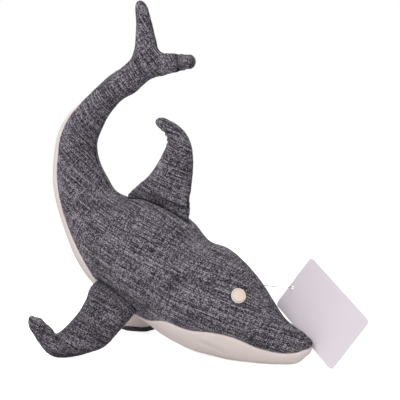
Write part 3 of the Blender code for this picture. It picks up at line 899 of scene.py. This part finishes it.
def build_fin(body_grid, name, sides, sections, rounding, grain, pinch, creases):
    """Two panels and a filling. Returns where the fin's skin meets the body's."""
    form = SoftForm(sections, 0, rounding)
    form.lay_flat()
    places = form.places()
    place = np.repeat(places, FIN_COLUMNS)
    across = np.tile(np.linspace(0, 1, FIN_COLUMNS), len(places))
    leading, trailing = (
        np.radians(np.interp(place, SEAM_PLACES, turns)) for turns in SEAM_TURNS[name]
    )
    sideways = form.frame(place)[2]
    tip_room = smoothstep(form.last + 1 - place, 0, TIP_REACH)
    faces = np.array(grid_faces(len(places), FIN_COLUMNS, closed=False))
    roots = []
    for side, turn in zip(sides, (1, -1)):
        slot = "cream_cloth" if side == "inner" else "grey_cloth"
        end = math.pi * turn + trailing
        angle = leading * (1 - across) + end * across
        points, normals = form.skin(place, angle), form.normal(place, angle)
        outside = body_grid.locate(points)[2]
        points = pinched(points, form, place, angle, outside, pinch)
        edge = np.minimum(
            np.abs(form.around_length(place, leading, angle)),
            np.abs(form.around_length(place, angle, end)),
        )
        dip, dark = crease_dip(points, creases, LEFT_FIN_CREASES)
        dip += seam_dip(edge, form.flat_at(place)[3], 3) + wrinkles(points, *FIN_WRINKLES)
        # Painted shade where the fin goes into the body
        painted_root_shade = fading(np.maximum(outside, 0), ROOT_PAINTED_SHADE_WIDTH)
        dark = np.maximum.reduce([dark, painted_root_shade, seam_painted_shade(edge)])
        if slot == "grey_cloth" and name != "dorsal_fin":
            # Painted shade of the body over the fin's root
            painted_body_shade = PAINTED_BODY_SHADE * (1 - smoothstep(place, *PAINTED_BODY_SHADE_PLACES))
            # Painted shade on cloth that faces down near the floor
            low = 1 - smoothstep(points[:, 2], *PAINTED_FLOOR_SHADE_HEIGHTS)
            painted_floor_shade = PAINTED_FLOOR_SHADE * low * smoothstep(-normals[:, 2], *PAINTED_FLOOR_SHADE_SLOPES)
            dark = np.maximum.reduce([dark, painted_body_shade, painted_floor_shade])
        points = points - normals * (dip * tip_room)[:, None]
        gap = SEAM_GAP * turn * (1 - smoothstep(edge, *PANEL_GAP_REACH)) * tip_room
        points += sideways * gap[:, None]
        lift = np.maximum(normals[:, 2], 1 - smoothstep(edge, *SEAM_LIFT_REACH))
        points[:, 2] = np.maximum(points[:, 2], CLOTH * lift)
        roots.append(root_line(points, outside))
        shown = outside[faces].max(1) > -PANEL_INSIDE
        cloth = form.cloth(place, angle, grain - GRAIN_BODY)
        panel = piece_mesh(f"{name}_{side}_cloth", points, faces[shown], cloth, dark)
        finish_piece(panel, slot, f"{name}_{side}")
    grid = FormGrid(form)
    points, triangles = union_mesh([grid], FILLING_DEPTH, FILLING_VOXEL)
    place, angle, _ = grid.locate(points)
    points = pinched(points, form, place, angle, body_grid.locate(points)[2], pinch)
    filling = piece_mesh(name + "_filling_fibre", points, triangles)
    finish_piece(filling, "filling", name + "_filling")
    return np.vstack(roots)


def pinched(points, form, place, angle, outside, pinch):
    """A fin's points, where it is thinner this near to the body."""
    least, reach = pinch
    left = least + (1 - least) * smoothstep(outside, 0, reach)
    _, _, sideways, half, _ = form.frame(place)
    return points - sideways * (half * np.sin(angle) * (1 - left))[:, None]


def root_line(points, outside):
    """Points close together along the line where a fin's panel goes into the body."""
    spots = []
    for column in range(FIN_COLUMNS):
        line, depth = points[column::FIN_COLUMNS], outside[column::FIN_COLUMNS]
        ring = np.flatnonzero((depth[:-1] < 0) & (depth[1:] >= 0))[-1]
        t = depth[ring] / (depth[ring] - depth[ring + 1])
        spots.append(line[ring] + (line[ring + 1] - line[ring]) * t)
    spots = np.array(spots)
    shares = np.linspace(0, 1, ROOT_STEPS, endpoint=False)[:, None, None]
    return (spots[:-1] + (spots[1:] - spots[:-1]) * shares).reshape(-1, 3)


# Eyes

def build_eyes(body_grid):
    """Round patches with their satin-stitched rims, seated on both sides of the head."""
    x, z = EYE_AT
    around = EYE_STITCHES * STITCH_STEPS
    for name, side in (("right", -1), ("left", 1)):
        middle, normal, _, _ = body_grid.tree.ray_cast((x, side * EYE_CAST, z), (0, -side, 0))
        across = normal.orthogonal().normalized()
        up = normal.cross(across)

        def seat(radius, turn, height):
            spot = middle + (across * math.cos(turn) + up * math.sin(turn)) * radius
            hit = body_grid.tree.ray_cast(spot + normal * EYE_CAST, -normal)[0]
            return hit + normal * height

        rings = [
            [seat(radius, 2 * math.pi * k / EYE_AROUND, height) for k in range(EYE_AROUND)]
            for radius, height in EYE_PATCH
        ]
        middles = [seat(0, 0, height) for height in EYE_PATCH_MIDDLES]
        patch = ring_mesh(f"eye_patch_{name}_cloth", rings, across, up, middles)
        finish_piece(patch, "eye_cloth", f"eye_patch_{name}")

        rings = []
        for k in range(EYE_RIM_SIDES):
            t = 2 * math.pi * k / EYE_RIM_SIDES
            ring = []
            for turn in (2 * math.pi * j / around for j in range(around)):
                waver = STITCH_WAVER * math.sin(STITCH_WAVES * turn)
                ridge = abs(math.sin(turn * EYE_STITCHES / 2 + waver))
                bulge = 1 - STITCH_BULGE * (1 - ridge)
                radius = EYE_RIM_RADIUS - math.cos(t) * EYE_RIM_WIDTH / 2 * bulge
                height = max(math.sin(t), -EYE_RIM_SUNK) * EYE_RIM_HEIGHT * bulge
                ring.append(seat(radius, turn + STITCH_SLANT * math.cos(t), height))
            rings.append(ring)
        rim = ring_mesh(f"eye_rim_{name}_stitches", rings, across, up)
        finish_piece(rim, "eye_stitching", f"eye_rim_{name}")


def ring_mesh(name, rings, across, up, middles=()):
    """A closed mesh of rings, joined round or with a middle point at both ends."""
    count = len(rings[0])
    points = [spot for ring in rings for spot in ring]
    last = len(points) - count
    faces = grid_faces(len(rings), count, closed=True)
    for j in range(count):
        n = (j + 1) % count
        if middles:
            faces += [(last + j, last + n, len(points)), (n, j, len(points) + 1)]
        else:
            faces.append((last + j, last + n, n, j))
    points = np.array([*points, *middles])
    return piece_mesh(name, points, faces, points @ np.array([across, up]).T)


# Tag and pin

def tag_frame():
    """Turns and moves a point of the flat card to its place on the standing tag."""
    lean, spin, yaw = (math.radians(angle) for angle in TAG_TURN)
    frame = Matrix.Translation(Vector(TAG_CORNER))
    for angle, axis in ((yaw, "Z"), (lean, "X"), (spin, "Y")):
        frame = frame @ Matrix.Rotation(angle, 4, axis)
    return frame


def pin_route(body, hole, through):
    """From the seam over the forehead, in a shallow sag, and through the tag's hole."""
    outward = body.normal(PIN_START, math.pi)
    start = body.skin(PIN_START, math.pi) + outward * PIN_START_GAP
    lead, tail = start + outward * PIN_LEAD, hole - through * PIN_TAIL
    sag = (lead + tail) / 2 - [0, 0, PIN_SAG]
    rows = with_ends(np.array([start, lead, sag, tail, hole, hole + through * PIN_TAIL]))
    shares = np.arange(PIN_STEPS)[:, None] / PIN_STEPS
    route = [smooth_curve(*rows[k:k + 4], shares) for k in range(len(rows) - 3)]
    return np.vstack(route + [rows[-2:-1]])


def tube(name, points, diameter):
    """A round curve with closed ends along these points."""
    curve = bpy.data.curves.new(name, "CURVE")
    curve.dimensions = "3D"
    curve.bevel_depth = diameter / 2 * MM
    curve.bevel_resolution = PIN_ROUNDNESS
    curve.use_fill_caps = True
    spline = curve.splines.new("POLY")
    spline.points.add(len(points) - 1)
    for point, spot in zip(spline.points, points):
        point.co = (*(Vector(spot) * MM), 1)
    return add_object(name, curve)


def build_tag_and_pin(body):
    frame = tag_frame()
    hole = np.array(frame @ Vector(TAG_HOLE))
    along, through = (np.array(frame.to_3x3().col[k]) for k in (0, 1))
    route = pin_route(body, hole, through)
    pin = tube("tag_pin_filament", route, PIN_DIAMETER)
    finish_piece(pin, "nylon", "tag_pin")
    middle = route[-1] + through * (PIN_BAR_GAP + PIN_BAR_DIAMETER / 2)
    half = along * PIN_BAR_LENGTH / 2
    bar = tube("tag_pin_cross_bar", [middle - half, middle + half], PIN_BAR_DIAMETER)
    finish_piece(bar, "nylon", "tag_pin_bar")
    tag = bpy.data.objects["hang_tag"]
    tag.data.materials.clear()
    tag.data.materials.append(MATERIALS["tag_card"])


# Materials

MATERIALS = {}


class Nodes:
    """A node tree and short calls that add nodes to it. Numbers and sockets mix freely."""

    def __init__(self, owner):
        owner.use_nodes = True
        self.tree = owner.node_tree

    def node(self, kind, feeds=(), **settings):
        made = self.tree.nodes.new(kind)
        for key, value in settings.items():
            setattr(made, key, value)
        for key, value in dict(feeds).items():
            self.feed(made.inputs[key], value)
        return made

    def feed(self, socket, value):
        if isinstance(value, bpy.types.NodeSocket):
            self.tree.links.new(value, socket)
        else:
            socket.default_value = value

    def math(self, operation, *values):
        return self.node("ShaderNodeMath", enumerate(values), operation=operation).outputs[0]

    def show(self, output, share, low, high):
        """Feeds an output with a mix of two shaders."""
        mix = self.node("ShaderNodeMixShader", {"Fac": share, 1: low, 2: high})
        self.feed(self.tree.nodes[output].inputs["Surface"], mix.outputs[0])


class Shader(Nodes):
    """A material with one main shader."""

    def __init__(self, name, roughness, sheen=0.0, specular=0.2):
        self.material = bpy.data.materials.new(name)
        super().__init__(self.material)
        self.shader = self.tree.nodes["Principled BSDF"]
        self.set("Roughness", roughness)
        self.set("Sheen Weight", sheen)
        self.set("Specular IOR Level", specular)

    def set(self, name, value):
        self.feed(self.shader.inputs[name], value)

    def color(self, color, light):
        """The base colour, made darker or lighter."""
        if not isinstance(color, bpy.types.NodeSocket):
            color = self.vector(*srgb(*color))
        feeds = {"Vector": color, "Scale": light}
        scaled = self.node("ShaderNodeVectorMath", feeds, operation="SCALE")
        self.set("Base Color", scaled.outputs["Vector"])

    def bump(self, height, distance):
        feeds = {"Height": height, "Distance": distance * MM, "Strength": 1.0}
        self.set("Normal", self.node("ShaderNodeBump", feeds).outputs["Normal"])

    def vector(self, x, y, z):
        return self.node("ShaderNodeCombineXYZ", {0: x, 1: y, 2: z}).outputs[0]

    def spot(self):
        return self.node("ShaderNodeTexCoord").outputs["Object"]

    def noise(self, vector, scale, detail):
        feeds = {"Vector": vector, "Scale": scale, "Detail": detail}
        return self.node("ShaderNodeTexNoise", feeds).outputs

    def speck(self, vector):
        """A value of its own for each whole-number place."""
        return self.node("ShaderNodeTexWhiteNoise", {"Vector": vector}).outputs["Value"]

    def mix(self, factor, low, high):
        return self.math("MULTIPLY_ADD", factor, self.math("SUBTRACT", high, low), low)

    def ramp(self, factor, stops):
        made = self.node("ShaderNodeValToRGB", {"Fac": factor})
        elements = made.color_ramp.elements
        while len(elements) < len(stops):
            elements.new(1)
        for element, (position, color) in zip(elements, stops):
            element.position = position
            element.color = (*srgb(*color), 1)
        return made.outputs["Color"]

    def painted_shade_light(self, strength=1.0):
        """Painted shade as a light factor: 1 on open cloth, less at the bottom of creases and seams, at
        fin roots and on the pectorals' shaded grey cloth.
        """
        dark = self.node("ShaderNodeAttribute", attribute_name="dark").outputs["Fac"]
        return self.math("MULTIPLY_ADD", dark, -PAINTED_SHADE_STRENGTH * strength, 1.0)


def srgb(*levels):
    """Linear colour of an 8-bit colour."""
    return [
        level / 255 / 12.92 if level <= 10 else ((level / 255 + 0.055) / 1.055) ** 2.4
        for level in levels
    ]


def weave(shader, pitch, grain, waver):
    """A plain weave: place on the cloth, threads, their numbers, which is on top, and the height."""
    cloth = shader.node("ShaderNodeAttribute", attribute_name="cloth").outputs["Vector"]
    drift = shader.noise(cloth, WEAVE_DRIFT, 2.0)["Color"]
    split = shader.node("ShaderNodeSeparateXYZ", {0: cloth}).outputs
    wander = shader.node("ShaderNodeSeparateXYZ", {0: drift}).outputs
    threads, crowns, heights = [], [], []
    for axis in (0, 1):
        turn = math.radians(grain + 90 * axis)
        thread = shader.math("MULTIPLY", split[0], math.cos(turn) / (pitch * MM))
        thread = shader.math("MULTIPLY_ADD", split[1], math.sin(turn) / (pitch * MM), thread)
        thread = shader.math("MULTIPLY_ADD", wander[axis], waver, thread)
        threads.append(thread)
        half_turn = shader.math("MULTIPLY", shader.math("FRACT", thread), math.pi)
        crowns.append(shader.math("SINE", half_turn))
    cells = [shader.math("FLOOR", thread) for thread in threads]
    parity = shader.math("FRACT", shader.math("MULTIPLY", shader.math("ADD", *cells), 0.5))
    top = shader.math("MULTIPLY", parity, 2.0)
    for across, along in (crowns, crowns[::-1]):
        round_top = shader.math("POWER", across, THREAD_ROUNDNESS)
        bend = shader.mix(along, 1 - THREAD_BEND, 1.0)
        heights.append(shader.math("MULTIPLY", round_top, bend))
    return cloth, threads, cells, top, shader.mix(top, heights[1], heights[0])


def heather_cloth(name):
    """Grey weave of mixed dark and light yarn, each thread in short dabs and long faint streaks."""
    shader = Shader(name, roughness=0.92, sheen=0.1)
    cloth, threads, cells, top, height = weave(shader, HEATHER_PITCH, GRAIN_BODY, HEATHER_WAVER)
    dabs, streaks = [], []
    for cell, thread, (seed, dab, run) in zip(cells, threads[::-1], YARN):
        step = shader.math("MULTIPLY_ADD", cell, DAB_STAGGER, shader.math("MULTIPLY", thread, dab))
        dabs.append(shader.speck(shader.vector(cell, shader.math("FLOOR", step), seed)))
        index = shader.math("MULTIPLY", cell, STREAK_STAGGER)
        streak = shader.vector(index, shader.math("MULTIPLY", thread, run), seed)
        streaks.append(shader.noise(streak, 1.0, 0.0)["Fac"])
    parts = [(shader.mix(top, dabs[1], dabs[0]), DAB_STRENGTH), *zip(streaks, STREAK_STRENGTHS)]
    parts += [(shader.noise(cloth, scale, detail)["Fac"], share) for scale, detail, share in SPECKS]
    value = 0.5
    for part, strength in parts:
        value = shader.math("MULTIPLY_ADD", shader.math("SUBTRACT", part, 0.5), strength, value)
    # Painted shade between the threads, times the painted shade of creases, seams and fin roots
    light = shader.math("MULTIPLY", shader.mix(height, *YARN_PAINTED_THREAD_LIGHT), shader.painted_shade_light())
    shader.color(shader.ramp(value, YARN_COLORS), light)
    shader.bump(height, YARN_BUMP)
    return shader.material


def plain_cloth(name, color, pitch):
    """Fine even weave."""
    shader = Shader(name, roughness=0.9, sheen=0.1)
    cloth, _, _, _, height = weave(shader, pitch, 0, PLAIN_WAVER)
    scale, detail, strength = PLAIN_PATCHES
    patches = shader.noise(cloth, scale, detail)["Fac"]
    # Painted shade between the threads
    light = shader.math("MULTIPLY_ADD", patches, strength, shader.mix(height, *PLAIN_PAINTED_THREAD_LIGHT))
    # Painted shade of creases and seams, at a share of its strength
    shader.color(color, shader.math("MULTIPLY", light, shader.painted_shade_light(PLAIN_PAINTED_SHADE)))
    shader.bump(height, PLAIN_BUMP)
    return shader.material


def flecked(name, color, roughness, light, flecks, sheen=0.0, transmission=0.0):
    """One colour with layers of flecks."""
    shader = Shader(name, roughness, sheen)
    shader.set("Transmission Weight", transmission)
    for scale, detail, strength, bump in flecks:
        fleck = shader.noise(shader.spot(), scale, detail)["Fac"]
        light = shader.math("MULTIPLY_ADD", fleck, strength, light)
        if bump:
            shader.bump(fleck, bump)
    shader.color(color, light)
    return shader.material


def build_materials():
    """Colours are in 8 bits. A layer of flecks is its scale, detail, strength and bump."""
    thread = {"roughness": 0.6, "sheen": 0.15, "light": 0.88, "flecks": ((3000.0, 2.0, 0.2, 0.05),)}
    card_flecks = ((900.0, 3.0, 0.03, 0.02), (30.0, 1.0, 0.04, 0))
    card = {"roughness": 0.55, "light": 0.95, "flecks": card_flecks}
    nylon = {"roughness": 0.25, "transmission": 0.15, "light": 0.92, "flecks": ((400.0, 1.0, 0.1, 0),)}
    for name, make, settings in (
        ("grey_cloth", heather_cloth, {}),
        ("cream_cloth", plain_cloth, {"color": (227, 214, 211), "pitch": 0.9}),
        ("filling", flecked, {"color": (240, 238, 234), **thread}),
        ("eye_cloth", plain_cloth, {"color": (236, 219, 203), "pitch": 0.5}),
        ("eye_stitching", flecked, {"color": (246, 238, 228), **thread}),
        ("tag_card", flecked, {"color": (222, 213, 220), **card}),
        ("nylon", flecked, {"color": (130, 131, 136), **nylon}),
    ):
        MATERIALS[name] = make(name, **settings)


# Stage

def aim(obj, location, target):
    obj.location = location
    obj.rotation_mode = "QUATERNION"
    obj.rotation_quaternion = (Vector(target) - Vector(location)).to_track_quat("-Z", "Y")


def build_camera():
    azimuth, elevation = math.radians(CAMERA_AZIMUTH), math.radians(CAMERA_ELEVATION)
    back = Vector((math.sin(azimuth), -math.cos(azimuth), math.tan(elevation))).normalized()
    data = bpy.data.cameras.new("camera")
    data.lens = CAMERA_LENS
    data.sensor_width = CAMERA_SENSOR
    camera = add_object("camera", data)
    target = Vector(CAMERA_TARGET)
    aim(camera, target + back * CAMERA_DISTANCE, target)
    bpy.context.scene.camera = camera


def build_stage():
    """Even world light that the camera sees as white, the lamps and the floor."""
    bpy.context.scene.view_settings.view_transform = "Standard"
    world = bpy.data.worlds.new("studio")
    bpy.context.scene.world = world
    studio = Nodes(world)
    even = studio.tree.nodes["Background"]
    studio.feed(even.inputs["Color"], WHITE)
    studio.feed(even.inputs["Strength"], WORLD_LIGHT)
    white = studio.node("ShaderNodeBackground", {"Color": WHITE, "Strength": 1.0})
    path = studio.node("ShaderNodeLightPath").outputs
    seen = studio.math("MAXIMUM", path["Is Camera Ray"], path["Is Glossy Ray"])
    seen = studio.math("MAXIMUM", seen, path["Is Transmission Ray"])
    studio.show("World Output", seen, even.outputs[0], white.outputs[0])

    for name, location, size, power in LAMPS:
        data = bpy.data.lights.new(name, "AREA")
        data.shape = "SQUARE"
        data.size = size
        data.energy = power
        aim(add_object(name, data), location, LAMP_TARGET)

    mesh = bpy.data.meshes.new("floor")
    corners = [(-FLOOR_REACH, -FLOOR_REACH, 0), (FLOOR_REACH, -FLOOR_REACH, 0)]
    corners += [(-x, -y, z) for x, y, z in corners]
    mesh.from_pydata(corners, [], [(0, 1, 2, 3)])
    mesh.materials.append(floor_material())
    floor = add_object("floor", mesh)
    floor.location.z = -FLOOR_DROP


def floor_material():
    """Pale floor. The camera sees it close to white, with the object's shadow, and not its end."""
    floor = Shader("floor", roughness=1, specular=0)
    floor.set("Base Color", (FLOOR_GREY, FLOOR_GREY, FLOOR_GREY, 1))
    seen = floor.node("ShaderNodeLightPath").outputs["Is Camera Ray"]
    strength = floor.math("MULTIPLY", seen, FLOOR_GLOW)
    glow = floor.node("ShaderNodeEmission", {"Strength": strength}).outputs[0]
    lit = floor.node("ShaderNodeAddShader", {0: floor.shader.outputs[0], 1: glow})
    distance = floor.node("ShaderNodeVectorMath", {0: floor.spot()}, operation="LENGTH")
    start, end = FLOOR_FADE
    feeds = {"Value": distance.outputs["Value"], "From Min": start, "From Max": end}
    fade = floor.node("ShaderNodeMapRange", feeds).outputs[0]
    clear = floor.node("ShaderNodeBsdfTransparent").outputs[0]
    floor.show("Material Output", fade, lit.outputs[0], clear)
    return floor.material


def lower_fluke(body):
    """The lower fluke's form, laid out on the cloth where it leaves the body's panel."""
    fluke = SoftForm(LOWER_FLUKE, 0, LOWER_FLUKE_ROUNDING)
    middle, _, _, _, along = body.frame(FLUKE_START + 1)
    first, _, _, _, fluke_along = fluke.frame(0)
    x, _, z = first - middle
    flat_x, flat_y, heading, _ = body.flat_at(FLUKE_START + 1)
    lean = heading - math.atan2(along[2], along[0])
    origin = (
        flat_x + x * math.cos(lean) - z * math.sin(lean),
        flat_y + x * math.sin(lean) + z * math.cos(lean),
    )
    fluke.lay_flat(np.ones_like, origin, math.atan2(fluke_along[2], fluke_along[0]) + lean)
    return fluke


def main():
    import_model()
    build_camera()
    build_materials()
    body = SoftForm(BODY, SNOUT_ROUNDING, FLUKE_ROUNDING)
    body.lay_flat(lambda place: np.where(place < FLUKE_START, PANEL_TURN, 1.0))
    build_tag_and_pin(body)
    build_stage()
    body_grid, fluke_grid = FormGrid(body), FormGrid(lower_fluke(body))
    fin_roots = build_fins(body_grid)
    build_body(body_grid, fluke_grid, fin_roots)
    build_eyes(body_grid)


main()
